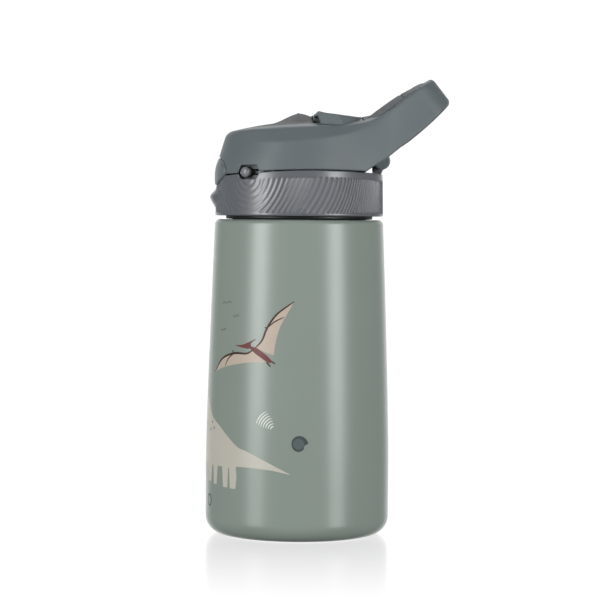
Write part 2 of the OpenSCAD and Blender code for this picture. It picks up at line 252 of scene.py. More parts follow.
def evened(points, faces):
    """Moves each point halfway to the middle of the faces round it."""
    total = np.zeros_like(points)
    count = np.zeros(len(points))
    middle = points[faces].mean(1)
    for corner in faces.T:
        count += np.bincount(corner, minlength=len(points))
        for axis in range(3):
            total[:, axis] += np.bincount(corner, weights=middle[:, axis], minlength=len(points))
    return (points + total / count[:, None]) / 2


def surface(field, low, high, step):
    """Closed quad mesh of a field's zero level between two corners."""
    step = step * FINE
    low = np.array(low, float) - 2 * step
    counts = np.ceil((np.array(high) + 2 * step - low) / step).astype(int) + 1
    x, y, z = (low[a] + step * np.arange(counts[a]) for a in range(3))
    values = field(x[:, None, None], y[None, :, None], z[None, None, :])
    inside = values < 0
    shape = [n - 1 for n in inside.shape]
    count = np.zeros(shape, np.int8)
    for i, j, k in CORNERS:
        count += inside[i:i + shape[0], j:j + shape[1], k:k + shape[2]]
    active = (count > 0) & (count < 8)
    cells = np.argwhere(active)
    index = np.full(shape, -1)
    index[active] = np.arange(len(cells))
    points = low + (cells + crossings(values, cells)) * step
    faces = net_faces(inside, index)
    for turn in range(5):
        points = evened(points, faces) if turn < 3 else points
        grad = slope(field, points)
        size = np.maximum((grad ** 2).sum(1), 0.05)
        move = -grad * (field(*points.T) / size)[:, None]
        far = np.maximum(np.linalg.norm(move, axis=1) / (0.4 * step), 1)
        points = points + move / far[:, None]
    return points, faces


def turned(profile, steps=256):
    """Closed mesh of a profile of (radius, height) points turned round the Z axis."""
    points = []
    rings = []
    for r, z in profile:
        if r < 1e-6:
            rings.append([len(points)] * steps)
            points.append((0, 0, z))
            continue
        rings.append(list(range(len(points), len(points) + steps)))
        angles = [math.tau * k / steps for k in range(steps)]
        points += [(r * math.cos(angle), r * math.sin(angle), z) for angle in angles]
    faces = []
    for a, b in zip(rings, rings[1:] + rings[:1]):
        for k in range(steps):
            n = (k + 1) % steps
            corners = [a[k], a[n], b[n], b[k]]
            face = [c for i, c in enumerate(corners) if c != corners[i - 1]]
            if len(set(face)) > 2:
                faces.append(face)
    return np.array(points), faces


def arc(cx, cz, r, start, end, steps):
    """Points on an arc in the radius-height plane, angles in degrees."""
    angles = [math.radians(start + (end - start) * k / steps) for k in range(steps + 1)]
    return [(cx + r * math.cos(a), cz + r * math.sin(a)) for a in angles]


def smooth_line(points, steps):
    """A smooth line through the points (Catmull-Rom), with that many steps between two of them."""
    line = []
    for i in range(len(points) - 1):
        p0, p1, p2, p3 = (np.array(points[min(max(i + n, 0), len(points) - 1)], float) for n in (-1, 0, 1, 2))
        for k in range(steps):
            t = k / steps
            line.append(0.5 * (2 * p1 + (p2 - p0) * t + (2 * p0 - 5 * p1 + 4 * p2 - p3) * t ** 2
                               + (3 * p1 - p0 - 3 * p2 + p3) * t ** 3))
    return line + [np.array(points[-1], float)]


def piece(name, mesh_data, material, body, lift=0.0, nodes=()):
    """Makes an object from points in millimetres, and rides it on a body."""
    points, faces = mesh_data
    mesh = bpy.data.meshes.new(name)
    placed = (np.asarray(points, float) + [0, 0, lift]) * MM
    corners = [list(map(int, face)) for face in faces]
    mesh.from_pydata(placed.tolist(), [], corners)
    mesh.validate()
    mesh.shade_smooth()
    mesh.materials.append(material)
    made = bpy.data.objects.new(name, mesh)
    bpy.context.scene.collection.objects.link(made)
    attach(made, body)
    if nodes:
        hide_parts(*nodes)
    return made


# ------------------------------------------------------------------ materials

def finish(name, colour, roughness, grain=0.03, grain_size=0.4, shift=0.05, wear=0.05, metallic=0.0,
           specular=0.5, brushed=False):
    """Procedural finish: slight colour drift, uneven gloss and a fine grain; sizes in millimetres."""
    material = bpy.data.materials.new(name)
    material.use_nodes = True
    tree = material.node_tree
    shader = tree.nodes["Principled BSDF"]
    shader.inputs["Metallic"].default_value = metallic
    shader.inputs["Specular IOR Level"].default_value = specular
    place = tree.nodes.new("ShaderNodeTexCoord")
    stretch = tree.nodes.new("ShaderNodeMapping")
    stretch.inputs["Scale"].default_value = (0.06, 0.06, 1) if brushed else (1, 1, 1)
    tree.links.new(place.outputs["Object"], stretch.inputs["Vector"])

    def noise(size, detail):
        node = tree.nodes.new("ShaderNodeTexNoise")
        node.inputs["Scale"].default_value = 1 / (size * MM)
        node.inputs["Detail"].default_value = detail
        tree.links.new(stretch.outputs["Vector"], node.inputs["Vector"])
        return node.outputs["Fac"]

    def between(factor, low, high):
        node = tree.nodes.new("ShaderNodeMapRange")
        node.inputs["From Min"].default_value = 0.3
        node.inputs["From Max"].default_value = 0.7
        node.inputs["To Min"].default_value = low
        node.inputs["To Max"].default_value = high
        tree.links.new(factor, node.inputs["Value"])
        return node.outputs["Result"]

    drift = tree.nodes.new("ShaderNodeMix")
    drift.data_type = "RGBA"
    tree.links.new(noise(14, 3), drift.inputs["Factor"])
    drift.inputs[6].default_value = (*[c * (1 - shift) for c in colour], 1)
    drift.inputs[7].default_value = (*[min(c * (1 + shift), 1) for c in colour], 1)
    tree.links.new(drift.outputs[2], shader.inputs["Base Color"])
    tree.links.new(between(noise(5, 4), roughness - wear, roughness + wear), shader.inputs["Roughness"])
    bump = tree.nodes.new("ShaderNodeBump")
    bump.inputs["Strength"].default_value = 0.5
    bump.inputs["Distance"].default_value = grain * MM
    tree.links.new(noise(grain_size, 2), bump.inputs["Height"])
    tree.links.new(bump.outputs["Normal"], shader.inputs["Normal"])
    return material


def silicone(name, colour):
    """Milky soft rubber."""
    material = finish(name, colour, 0.45, grain=0.02, shift=0.02)
    shader = material.node_tree.nodes["Principled BSDF"]
    shader.inputs["Subsurface Weight"].default_value = 0.3
    shader.inputs["Subsurface Radius"].default_value = (0.002, 0.002, 0.002)
    shader.inputs["Subsurface Scale"].default_value = 0.5
    return material


PAINT = finish("body_paint", (0.24, 0.285, 0.252), 0.31, grain=0.01, grain_size=0.9, shift=0.02,
               wear=0.01, specular=0.4)
STEEL = finish("bare_steel", (0.62, 0.62, 0.61), 0.3, metallic=1.0, brushed=True)
GETTER = finish("getter_alloy", (0.2, 0.2, 0.2), 0.5, metallic=1.0)
COLLAR = finish("collar_plastic", (0.12, 0.13, 0.143), 0.32, grain=0.015, grain_size=0.5)
# Near black, painted shade: it stands for the shade in the gap under the grip ring and in the recess behind
# the lock window.
PAINTED_SHADE = finish("dark_plastic", (0.016, 0.018, 0.02), 0.45)
PIN = finish("pin_steel", (0.6, 0.6, 0.6), 0.25, metallic=1.0)
INNER = finish("inner_plastic", (0.2, 0.23, 0.24), 0.45)
STRAW = silicone("straw_plastic", (0.7, 0.72, 0.72))
CLEAR = silicone("clear_silicone", (0.62, 0.66, 0.67))
BUTTON = finish("button_plastic", (0.13, 0.15, 0.162), 0.45, grain=0.015)
KNOB = finish("knob_plastic", (0.17, 0.18, 0.195), 0.35, grain=0.01)
LID = finish("lid_plastic", (0.129, 0.151, 0.16), 0.5, grain=0.015, grain_size=0.5, wear=0.02, specular=0.25)
INSERT = finish("insert_plastic", (0.1, 0.105, 0.11), 0.6, grain=0.02, specular=0.12)
GRIP = finish("grip_rubber", (0.108, 0.118, 0.126), 0.6, grain=0.03, specular=0.3)
CREAM = finish("ink_cream", (0.5, 0.485, 0.42), 0.42, grain=0.01, shift=0.03)
SKIN = finish("ink_skin", (0.5, 0.42, 0.345), 0.42, grain=0.01, shift=0.06, specular=0.25)
RUST = finish("ink_rust", (0.15, 0.04, 0.038), 0.42, grain=0.01, shift=0.15, specular=0.2)
BROWN = finish("ink_brown", (0.05, 0.022, 0.02), 0.42, grain=0.01, specular=0.2)
DEEP = finish("ink_deep", (0.062, 0.08, 0.076), 0.42, grain=0.01, specular=0.25)
SLATE = finish("ink_slate", (0.092, 0.114, 0.124), 0.42, grain=0.01)
WHITE = finish("ink_white", (0.66, 0.69, 0.65), 0.42, grain=0.01)
MOSS = finish("ink_moss", (0.1, 0.125, 0.11), 0.42, grain=0.01)


# ------------------------------------------------------------------ bottle

def wall_r(z):
    """Outside radius of the painted wall at height z."""
    return BODY_R - TAPER * (max(z - TAPER_Z, 0) / (TAPER_END_Z - TAPER_Z)) ** TAPER_POWER


def outer_shell():
    """Painted steel shell: rounded foot, tapering wall, turned-in shoulder and bare neck."""
    edge_z = BODY_TOP - SHOULDER_ROUND
    edge_r = wall_r(edge_z)
    foot_r = BODY_R - FOOT_ROUND
    wall = [(wall_r(z), z) for z in np.linspace(FOOT_ROUND + 1, edge_z, 40)]
    outside = arc(foot_r, FOOT_ROUND, FOOT_ROUND, -90, -2, 14) + wall
    outside += arc(edge_r - SHOULDER_ROUND, edge_z, SHOULDER_ROUND, 8, 84, 8)
    outside += [(SHOULDER_R, BODY_TOP - 0.3), (NECK_R, BODY_TOP + 0.6)]
    inside = [(NECK_R - NECK_T, BODY_TOP), (SHOULDER_R, BODY_TOP - 1)]
    inside += [(edge_r - 3, BODY_TOP - 1.5), (edge_r - 0.8, BODY_TOP - 4)]
    inside += [(wall_r(z) - SHELL_T, z) for z in np.linspace(BODY_TOP - 8, FOOT_ROUND + 2, 20)]
    inside += arc(foot_r, FOOT_ROUND, FOOT_ROUND - SHELL_T, 0, -90, 10)
    piece("shell_painted", turned(outside + inside), PAINT, "bottle",
          nodes=["outer_shell"])
    neck_top = LID_Z + NECK_H
    neck = [(NECK_R, BODY_TOP + 0.3), (NECK_R, neck_top - 0.4), (NECK_R - 0.3, neck_top)]
    neck += [(NECK_R - NECK_T, neck_top), (NECK_R - NECK_T, BODY_TOP + 0.3)]
    piece("shell_neck", turned(neck), STEEL, "bottle")


def gap_shade_ring():
    """Black ring, shaped as the foot of the screw sleeve, that paints the shade in the gap under the grip
    ring.
    """
    profile = [(26.5, 0.3), (26.5, -1.2), (28.5, -1.2), (28.8, -0.9), (28.8, 0.3)]
    piece("gap_shade_ring", turned(profile), PAINTED_SHADE, "lid_base", lift=LID_Z)


def printed(name, outline, material, layer=0):
    """A thin printed shape on the wall. The outline has points (arc from the near side, height)."""
    bm = bmesh.new()
    bm.faces.new([bm.verts.new((a, z, 0)) for a, z in outline])
    spans = [(min(p[n] for p in outline), max(p[n] for p in outline)) for n in (0, 1)]
    for axis, gap in ((0, CUT_ACROSS), (1, CUT_UP)):
        normal = [(1, 0, 0), (0, 1, 0)][axis]
        for at in np.arange(spans[axis][0] + gap, spans[axis][1], gap):
            cut = (at, 0, 0) if axis == 0 else (0, at, 0)
            whole = bm.verts[:] + bm.edges[:] + bm.faces[:]
            bmesh.ops.bisect_plane(bm, geom=whole, plane_co=cut, plane_no=normal)
    bmesh.ops.triangulate(bm, faces=bm.faces[:])
    raised = bmesh.ops.extrude_face_region(bm, geom=bm.faces[:], use_keep_orig=True)
    for v in [g for g in raised["geom"] if isinstance(g, bmesh.types.BMVert)]:
        v.co.z = PRINT_T + LAYER_STEP * layer
    bmesh.ops.recalc_face_normals(bm, faces=bm.faces[:])
    for v in bm.verts:
        angle = v.co.x / BODY_R
        radius = wall_r(v.co.y) - PRINT_SINK + v.co.z
        v.co = Vector((radius * math.sin(angle), -radius * math.cos(angle), v.co.y))
    bm.verts.index_update()
    points = np.array([v.co[:] for v in bm.verts])
    faces = [[v.index for v in f.verts] for f in bm.faces]
    bm.free()
    made = piece(name, (points, faces), material, "bottle")
    made.data.shade_flat()
    return made


def stroke(points, width, taper=0.25):
    """Outline of a brush stroke along a smooth line, thinner at both ends."""
    line = smooth_line(points, 6)
    left = []
    right = []
    for i, p in enumerate(line):
        along = line[min(i + 1, len(line) - 1)] - line[max(i - 1, 0)]
        side = np.array([-along[1], along[0]]) / (np.hypot(*along) + 1e-9)
        share = i / (len(line) - 1)
        half = width / 2 * (taper + (1 - taper) * math.sin(math.pi * min(max(share, 0.02), 0.98)) ** 0.6)
        left.append(tuple(p + side * half))
        right.append(tuple(p - side * half))
    return left + right[::-1]


def flyer(name, shift=0.0):
    """A gliding flying reptile: two skin wings with dark leading bones and a spindle body."""
    def place(points):
        return [(a + shift, z) for a, z in points]
    shoulder = (-17.4, 74.4)
    upper = smooth_line([shoulder, (-14.6, 77.4), (-12.6, 82.0), (-8.6, 87.4), (-1.6, 92.4)], 5)
    upper += smooth_line([(-1.6, 92.4), (-4.4, 87.6), (-7.2, 82.6), (-8.9, 77.0), (-9.6, 71.8)], 5)[1:]
    lower = smooth_line([shoulder, (-21.4, 72.2), (-28.0, 72.0), (-35.4, 69.6), (-41.2, 64.0)], 5)
    lower += smooth_line([(-41.2, 64.0), (-35.0, 66.2), (-28.0, 67.6), (-19.6, 68.9), (-13.4, 69.0)], 5)[1:]
    printed(name + "_wing_up", place([tuple(p) for p in upper]), SKIN)
    printed(name + "_wing_low", place([tuple(p) for p in lower]), SKIN)
    bones = [
        [(-17.6, 74.4), (-14.6, 77.4), (-12.6, 82.0), (-8.6, 87.4), (-1.7, 92.3)],
        [(-12.4, 82.2), (-9.4, 84.6), (-5.6, 86.4)],
        [(-17.8, 74.2), (-21.4, 72.2), (-28.0, 72.0), (-35.4, 69.6), (-41.1, 64.2)],
        [(-28.0, 72.0), (-31.4, 69.8), (-33.4, 66.8)],
        [(-12.4, 82.0), (-13.6, 82.4)],
        [(-28.4, 72.0), (-29.0, 73.1)],
    ]
    for i, bone in enumerate(bones):
        printed(f"{name}_bone_{i}", place(stroke(bone, 0.82 if i in (0, 2) else 0.5)), BROWN, layer=1)
    body = smooth_line([(-20.6, 74.7), (-17.2, 74.5), (-13.4, 72.4), (-10.8, 70.2), (-10.0, 69.2)], 4)
    body += smooth_line([(-11.4, 68.8), (-14.9, 70.7), (-18.0, 72.6), (-20.6, 74.7)], 4)[:-1]
    printed(name + "_body", place([tuple(p) for p in body]), RUST, layer=2)
    head = [
        (-27.6, 75.1), (-23.8, 75.4), (-21.4, 76.2), (-17.2, 78.0),
        (-19.8, 75.9), (-19.2, 74.6), (-20.8, 73.9), (-24.0, 74.4),
    ]
    printed(name + "_head", place(head), RUST, layer=3)
    for i, foot in enumerate([[(-11.0, 69.8), (-9.0, 68.6)], [(-12.6, 69.2), (-10.8, 67.4)]]):
        printed(f"{name}_foot_{i}", place(stroke(foot, 0.6, 0.5)), BROWN, layer=1)


def long_neck():
    """A cream long-necked plant eater, facing away round the front of the bottle."""
    top = smooth_line([
        (-2.4, 26.6), (-12, 31.2), (-20, 34.6), (-24.6, 36.0), (-30, 39.6), (-36, 43.6), (-42.0, 46.6),
        (-46.4, 51.5), (-51.0, 60.0), (-54.4, 69.0), (-58.8, 75.0), (-64.0, 76.6), (-68.4, 74.4),
    ], 5)
    low = smooth_line([
        (-68.6, 72.6), (-63.4, 72.4), (-60.0, 69.4), (-58.0, 62.0), (-57.6, 52.0), (-58.8, 42.0),
        (-57.0, 35.0), (-54.6, 30.4),
    ], 5)
    legs = [
        (-53.8, 20.6), (-51.0, 20.6), (-50.0, 28.4), (-46.8, 28.6), (-45.6, 21.4), (-42.6, 21.4),
        (-41.6, 28.0), (-40.4, 28.0), (-40.0, 20.8), (-37.6, 20.8), (-36.8, 28.0), (-33.6, 28.0),
        (-32.8, 20.2), (-30.2, 20.2), (-29.8, 27.8), (-29.2, 27.8), (-28.8, 20.0), (-25.8, 20.0),
        (-25.2, 24.4), (-25.6, 28.4),
    ]
    tail = smooth_line([(-25.0, 28.6), (-18, 28.6), (-10, 28.0), (-2.4, 26.5)], 5)
    outline = [tuple(p) for p in top + low] + legs + [tuple(p) for p in tail[:-1]]
    printed("long_neck", outline, CREAM)
    for i, (a, z) in enumerate([(-42.4, 44.6), (-44.0, 41.6), (-40.6, 42.4)]):
        printed(f"long_neck_spot_{i}", disc(a, z, 0.5), SLATE, layer=1)


def disc(a, z, r, steps=20):
    """Outline of a round dot."""
    angles = [math.tau * k / steps for k in range(steps)]
    return [(a + r * math.cos(angle), z + r * math.sin(angle)) for angle in angles]


def rings(name, a, z):
    """A fan of concentric white strokes."""
    for i in range(7):
        r = 1.2 + 1.04 * i
        sweep = [math.radians(84 + 5.2 * i + (94 - 7.6 * i) * k / 8) for k in range(9)]
        line = [(a + r * math.cos(t), z + r * math.sin(t)) for t in sweep]
        printed(f"{name}_{i}", stroke(line, 0.48), WHITE)


def shell_mark(name, a, z):
    """A dark coiled shell."""
    known_turns = [0.05, 0.7, 1.6, 3.1, 4.7, 5.5, 5.8, 6.1]
    known_reach = [3.7, 3.3, 3.1, 2.8, 3.0, 2.7, 2.2, 2.4]
    turns = np.linspace(known_turns[0], known_turns[-1], 42)
    reach = np.interp(turns, known_turns, known_reach)
    printed(name, [(a + r * math.cos(t), z + r * math.sin(t)) for t, r in zip(turns, reach)], DEEP)
    printed(name + "_heart", disc(a - 0.1, z, 2.15), SLATE, layer=1)


def birds(name, spots):
    """Small far-off birds, each two short strokes."""
    for i, (a, z, size) in enumerate(spots):
        left = [(a - size, z - 0.2), (a - size / 2, z + 0.5), (a, z)]
        right = [(a, z), (a + size / 2, z + 0.9), (a + size, z + 0.2)]
        printed(f"{name}_{i}_left", stroke(left, 0.42), MOSS)
        printed(f"{name}_{i}_right", stroke(right, 0.42), MOSS)


def decoration():
    """The printed pattern, with a second group on the far side."""
    flyer("flyer")
    long_neck()
    rings("rings", -9.2, 43.6)
    printed("pebble", disc(-44.6, 14.0, 2.5), DEEP)
    printed("pebble_heart", disc(-44.6, 14.0, 1.8), PAINT, layer=1)
    shell_mark("coiled_shell", 0.6, 38.3)
    birds("birds", [(-33.6, 90.9, 3.1), (-27.6, 85.9, 1.8), (-35.3, 80.4, 1.8)])
    far = math.pi * BODY_R
    flyer("far_flyer", shift=far)
    rings("far_rings", far + 12, 40)
    shell_mark("far_shell", far - 6, 34)
    birds("far_birds", [(far + 14, 88, 2.6), (far + 22, 82, 2.0)])


# ------------------------------------------------------------------ lid shapes

def parting(x):
    """Height of the line between the grip ring and the cover."""
    return PARTING_Z - PARTING_R + np.sqrt(PARTING_R ** 2 - (x - PARTING_X) ** 2)


def dome_radius(x, z):
    """Radius of the cover: a plain cone in front, with a crease along its sides."""
    front = LID_R - FRONT_LEAN * soft_step(z - CONE_Z, 1.5)
    crease = 28.7 + 0.09 * x + 0.0045 * x * x
    side = LID_R - SIDE_LEAN * soft_step(z - CONE_Z, 1.5) - CREASE_LEAN * soft_step(z - crease, 0.2)
    return front + (side - front) * ease(-21, -5, x)


def crown_top(x, r):
    """Height of the cover's gently crowned top."""
    return TOP_Z + TOP_SLOPE * (x - TOP_FRONT_X) + CROWN_H * (1 - (r / TOP_R) ** 2)


def mound(x, y):
    """How far the mound over the spout stands up, with the fine ridge across it."""
    along = ease(-11.5, 0.2, x) * (1 - ease(RIDGE_X, 10, x))
    across = np.clip(1 - (y / MOUND_HALF) ** 2, 0, 1) ** 1.3
    ridge = RIDGE_H * np.exp(-((x - RIDGE_X) / 0.35) ** 2) * (across > 0)
    return (MOUND_H * along + ridge) * across


def hood(x, y, z):
    """Raised hood over the rear of the top, its front lip bulging forwards over a hollow."""
    top = np.interp(x, [3, 6.9, 9.9, 16.1, 22.3, 30], [41.8, 40.4, 39.7, 39.0, 38.5, 38.0])
    r = np.hypot(x, y)
    bulge = 3.4 * np.clip(1 - (y / 24) ** 2, 0, 1) * np.clip((40.6 - z) / 1.7, 0, 1)
    front = LIP_X + 0.385 * (LIP_Z - z) - bulge
    side = np.maximum(r - 28.2 + 0.3 * (z - 34.4), np.abs(y) - 22.6 + 0.75 * np.maximum(x - 17.5, 0))
    shape = both(both(z - top, side, 0.5), front - x, 0.4)
    return both(shape, x - 31)


def hollow(x, y, z):
    """The space under the hood's front lip."""
    top = 37.7 + 1.0 * ease(4, 7.5, x) - 0.5 * ease(9, 15, x)
    floor_z = 35.1 + 4 * (1 - ease(8, 13, np.abs(y)))
    return both(both(z - top, np.abs(y) - 20.5, 0.6), both(floor_z - z, np.maximum(PANEL_END_X - x, x - 15)))


def loop_axes(x, z):
    """Distances along the carry loop and out of it."""
    u = math.cos(LOOP_ANGLE) * (x - LOOP_ORIGIN) + math.sin(LOOP_ANGLE) * (z - LOOP_ORIGIN)
    w = math.cos(LOOP_ANGLE) * (z - LOOP_ORIGIN) - math.sin(LOOP_ANGLE) * (x - LOOP_ORIGIN)
    return u, w


def loop_plan(x, y, z):
    """Field of the loop's outline, seen along its thickness. Its sides leave the dome smoothly."""
    u, _ = loop_axes(x, z)
    lean = np.minimum(LID_R - dome_radius(x, z), 4) * (1 - ease(18, 36, x))
    tangent = 30.3 - 0.373 * (x - 11.3) - 1.07 * lean
    half = soft_step(tangent - LOOP_HALF + LOOP_TAPER * u, 0.8) + LOOP_HALF - LOOP_TAPER * u
    return both(0.94 * (np.abs(y) - half), u - LOOP_END, 9)


def finger_hole(u, y):
    """Field of the opening through the loop, seen along its thickness."""
    half = LOOP_HALF - LOOP_TAPER * u - LOOP_T
    return both(both(np.abs(y) - half, u - LOOP_END + LOOP_T, 5.4), HOLE_START - u, 3)


def loop_top(u, depth):
    """Height of the loop's top face, which falls from its inner edge to its outer edge."""
    edge = EDGE_W + 0.73 * soft_step(2.6 - u, 2.5)
    crest = np.maximum(CREST_W - 1.0e-4 * np.maximum(u, 0) ** 3, edge)
    drop = np.maximum(crest - edge, 0) * (1 - ease(27, 33, u))
    return crest - drop * (1 - np.clip(depth / LOOP_T, 0, 1))


def loop_underside(u):
    """Height of the loop's lower face."""
    rise = 1.9 * ((np.clip(u, 8, 31) - 8) / 23) ** 2
    return UNDER_W + rise - 0.3 * np.exp(-((u + 1.5) / 5) ** 2)


def loop(x, y, z):
    """The carry loop without its lining's groove."""
    u, w = loop_axes(x, z)
    plan = loop_plan(x, y, z)
    top = (w - loop_top(u, -plan) + 1.2 * (1 - ease(13, 24, x))) * 0.8
    end_round = 0.9 * ease(24, 31, u)
    bar = both(both(plan, top, 0.6 + end_round), loop_underside(u) - w, 1.0 + end_round)
    return np.maximum(both(bar, -finger_hole(u, y), 0.8), 12 - x)


def oval(y, z, gap):
    """Field of the button's oval, seen from the front."""
    w = BUTTON_HALF_W + gap
    h = BUTTON_HALF_H + gap
    return (np.hypot(y / w, (z - BUTTON_Z) / h) - 1) * h


def front_oval(x, y, z, gap):
    """The button's oval through the front wall."""
    return np.maximum(oval(y, z, gap), x + 20)


def lock_window(x, y, z):
    """Six-sided opening that the lock's knob moves in."""
    r, angle = around(x, y)
    s = np.abs(angle - LOCK_MID) * WINDOW_R
    h = np.abs(z - LOCK_Z)
    slanted_end = (s - WINDOW_HALF_W) * 0.88 + h * 0.47
    return np.maximum(both(h - WINDOW_HALF_H, slanted_end, 0.5), 27 - r)


def hinge_room(x, y, z):
    """Room in the cover for the grip ring's lug."""
    half = LUG_HALF + LUG_GAP
    barrel = np.maximum(np.hypot(x - HINGE_X, z - HINGE_Z) - BARREL_R - BARREL_GAP, np.abs(y) - half)
    slot = block(x, y, z, (26, -half, 5), (HINGE_X + 1, half, HINGE_Z))
    return np.minimum(barrel, slot)


def pin_hole(x, y, z):
    """Bore for the hinge pin."""
    return np.maximum(np.hypot(x - HINGE_X, z - HINGE_Z) - PIN_HOLE_R, np.abs(y) - EAR_HALF + PIN_CAP)


def rear_edge(x):
    """Lower edge of the cover's rear, which uncovers the hinge."""
    return np.interp(x, [24, 28.4, 34.1, 40.5], [16, 19.2, 22.8, 28])


def cover_body(x, y, z):
    """The whole cover before it is divided into its pieces."""
    r = np.hypot(x, y)
    edge_round = 0.75 + 1.1 * (1 - ease(-27, -17, x))
    dome = both(r - dome_radius(x, z), z - crown_top(x, r) - mound(x, y), edge_round)
    dome = np.minimum(dome, np.maximum(hood(x, y, z), ROOF_Z - z))
    shape = either(dome, loop(x, y, z), LOOP_FILLET * ease(13, 28, x))
    shape = both(shape, (rear_edge(x) - z) * 0.85, 0.5)
    shape = np.maximum(shape, -hollow(x, y, z))
    roof = np.minimum(ROOF_Z, crown_top(x, r) - TOP_T)
    cavity = np.maximum(r - dome_radius(x, z) + WALL, z - roof)
    shape = np.maximum(shape, -cavity)
    shape = both(shape, -finger_hole(loop_axes(x, z)[0], y), 0.8)
    shape = both(shape, parting(x) + PARTING_GAP - z, 0.25)
    ears = np.maximum(axle(x, y, z, BARREL_R, EAR_HALF), LUG_HALF + LUG_GAP - np.abs(y))
    shape = np.minimum(shape, ears)
    shape = np.maximum(shape, -hinge_room(x, y, z))
    shape = np.maximum(shape, -pin_hole(x, y, z))
    shape = both(shape, -front_oval(x, y, z, SEAT_GAP), 0.25)
    return both(shape, -lock_window(x, y, z), 0.25)


def panel_region(x, y, z):
    """Where the top panel with its mound sits."""
    return np.maximum(np.maximum(np.hypot(x, y) - PANEL_R, x - PANEL_END_X), PANEL_FOOT_Z - z)


def grip_region(x, y, z):
    """Where the loop's soft lining sits: its top face and the wall of the hole."""
    u, w = loop_axes(x, z)
    depth = -loop_plan(x, y, z)
    margin = 1.1 + 3.2 * ease(25, 31, u) + 4.1 * (1 - ease(0.5, 6, u))
    top = np.maximum(loop_top(u, depth) - LINING_T - w, margin - depth)
    lining = finger_hole(u, y) - 1.3
    region = np.minimum(top, lining)
    return np.maximum(region, np.maximum(24 - x, 0.2 - u))


def seam(x, y, z):
    """Fine cut across the top of the lining."""
    u, w = loop_axes(x, z)
    u0, w0 = loop_axes(SEAM_X, SEAM_Z)
    deep = loop_top(u, -loop_plan(x, y, z)) - w
    return np.maximum(np.abs(u - u0 + 0.2 * (w - w0)) - SEAM_HALF, deep - SEAM_DEPTH)


def cover_shell(x, y, z):
    """Outer cover and the outside of the loop."""
    shape = cover_body(x, y, z)
    shape = np.maximum(shape, SPLIT_GAP - panel_region(x, y, z))
    return np.maximum(shape, SPLIT_GAP - grip_region(x, y, z))


def top_insert(x, y, z):
    """Panel in the cover's top, with the mound."""
    return both(cover_body(x, y, z), panel_region(x, y, z) + SPLIT_GAP, 0.15)


def grip_insert(x, y, z):
    """Soft lining of the loop."""
    shape = both(cover_body(x, y, z) + 0.08, grip_region(x, y, z) + SPLIT_GAP, 0.2)
    return np.maximum(shape, -seam(x, y, z))


def rib_depth(angle, z, top):
    """Grooves of the grip ring: arcs round the lock that close up towards the hinge."""
    reach = np.linspace(0, 140, 1401)
    pitch = 2.3 - 1.05 * ease(33, 46, reach)
    turns = np.cumsum(0.1 / pitch)
    along = np.abs(angle) * COLLAR_R - LOCK_MID * COLLAR_R
    centre = LOCK_Z - 2 + 9 * ease(4, 28, np.abs(along))
    away = np.hypot(along, z - centre)
    wave = (0.5 - 0.5 * np.cos(math.tau * np.interp(away, reach, turns))) ** 1.3
    band = ease(0.9, 1.5, z) * (1 - ease(top - 3.0, top - 2.4, z))
    depth = 0.1 + 0.34 * ease(11, 21, away) + 0.08 * ease(36, 48, away)
    return depth * wave * band * ease(2, 9, np.abs(angle) * COLLAR_R)


def collar(x, y, z):
    """Grip ring with its ribs, thumb ledge, hinge lug and barrel."""
    r, angle = around(x, y)
    top = parting(x)
    wall = COLLAR_R - 0.3 * z / 19
    nose_z = [2.6, 3.4, 5.2, 6.6, 7.3, 8.1, 9.6, 11.2]
    nose_reach = [31.5, 33.2, 34.3, 35.0, 35.15, 34.9, 33.6, 31.5]
    nose = np.hypot(x - NOSE_X, y) - np.interp(z, nose_z, nose_reach) - NOSE_X
    outer = either(r - wall + rib_depth(angle, z, top), np.maximum(nose, x + 20), 0.8)
    inner = np.where(z < 1.6, 28.1, wall - COLLAR_WALL)
    ring = np.maximum(both(both(outer, z - top, 0.3), -z, 0.5), inner - r)
    lug = both(block(x, y, z, (28.8, -LUG_HALF, 14.3), (34.5, LUG_HALF, 22)), np.abs(y) - LUG_HALF, 0.3)
    lug = both(lug, (x - 32.2 - 0.45 * (z - 17.4)) * 0.9, 0.3)
    ring = np.minimum(ring, lug)
    ring = np.minimum(ring, axle(x, y, z, BARREL_R, LUG_HALF))
    ring = np.maximum(ring, -pin_hole(x, y, z))
    ring = np.maximum(ring, -axle(x, y, z, BARREL_R + 1, 3))
    ring = both(ring, -front_oval(x, y, z, SEAT_GAP), 0.25)
    return both(ring, -lock_window(x, y, z), 0.25)


def push_button(x, y, z):
    """Oval button, slightly domed, with the frame behind it that holds the cover's hook."""
    r = np.hypot(x, y)
    face = BUTTON_R + 0.15 - 0.033 * np.maximum(z - 15.5, 0) ** 2 - 0.014 * np.minimum(z - 15.5, 0) ** 2
    shell = both(both(r - face, oval(y, z, 0), 0.7), BUTTON_R - BUTTON_T - 0.8 * ease(18, 24, z) - r, 0.2)
    shell = np.maximum(shell, x + 20)
    arms = block(x, np.abs(y), z, (-31.8, 5.2, 16.5), (-25.6, 6.8, 18.3))
    bar = block(x, y, z, (-27.4, -6.8, 16.5), (-25.6, 6.8, 18.3))
    return np.minimum(shell, np.minimum(arms, bar))


def lock_slider(x, y, z):
    """Round knob outside and the blade behind the wall."""
    r, angle = around(x, y)
    side = (angle - KNOB_ANGLE) * 32
    out = np.hypot(side, z - LOCK_Z)
    knob = both(both(out - KNOB_R, r - 33.5 + 0.16 * out ** 2, 0.6), 30.45 - r)
    stem = np.maximum(out - 1, np.abs(r - 29.6) - 1.6)
    blade = np.maximum(np.abs(r - 28.1) - 0.6, np.maximum(np.abs(z - 16.5) - 1.9, np.abs(side) - 2.6))
    tongue_ends = np.maximum(np.abs(z - 16.6) - 0.6, np.abs(side - 3.9) - 1.7)
    tongue = np.maximum(np.maximum(27.7 - r, r - 28.5), tongue_ends)
    return np.minimum(np.minimum(knob, stem), np.minimum(blade, tongue))


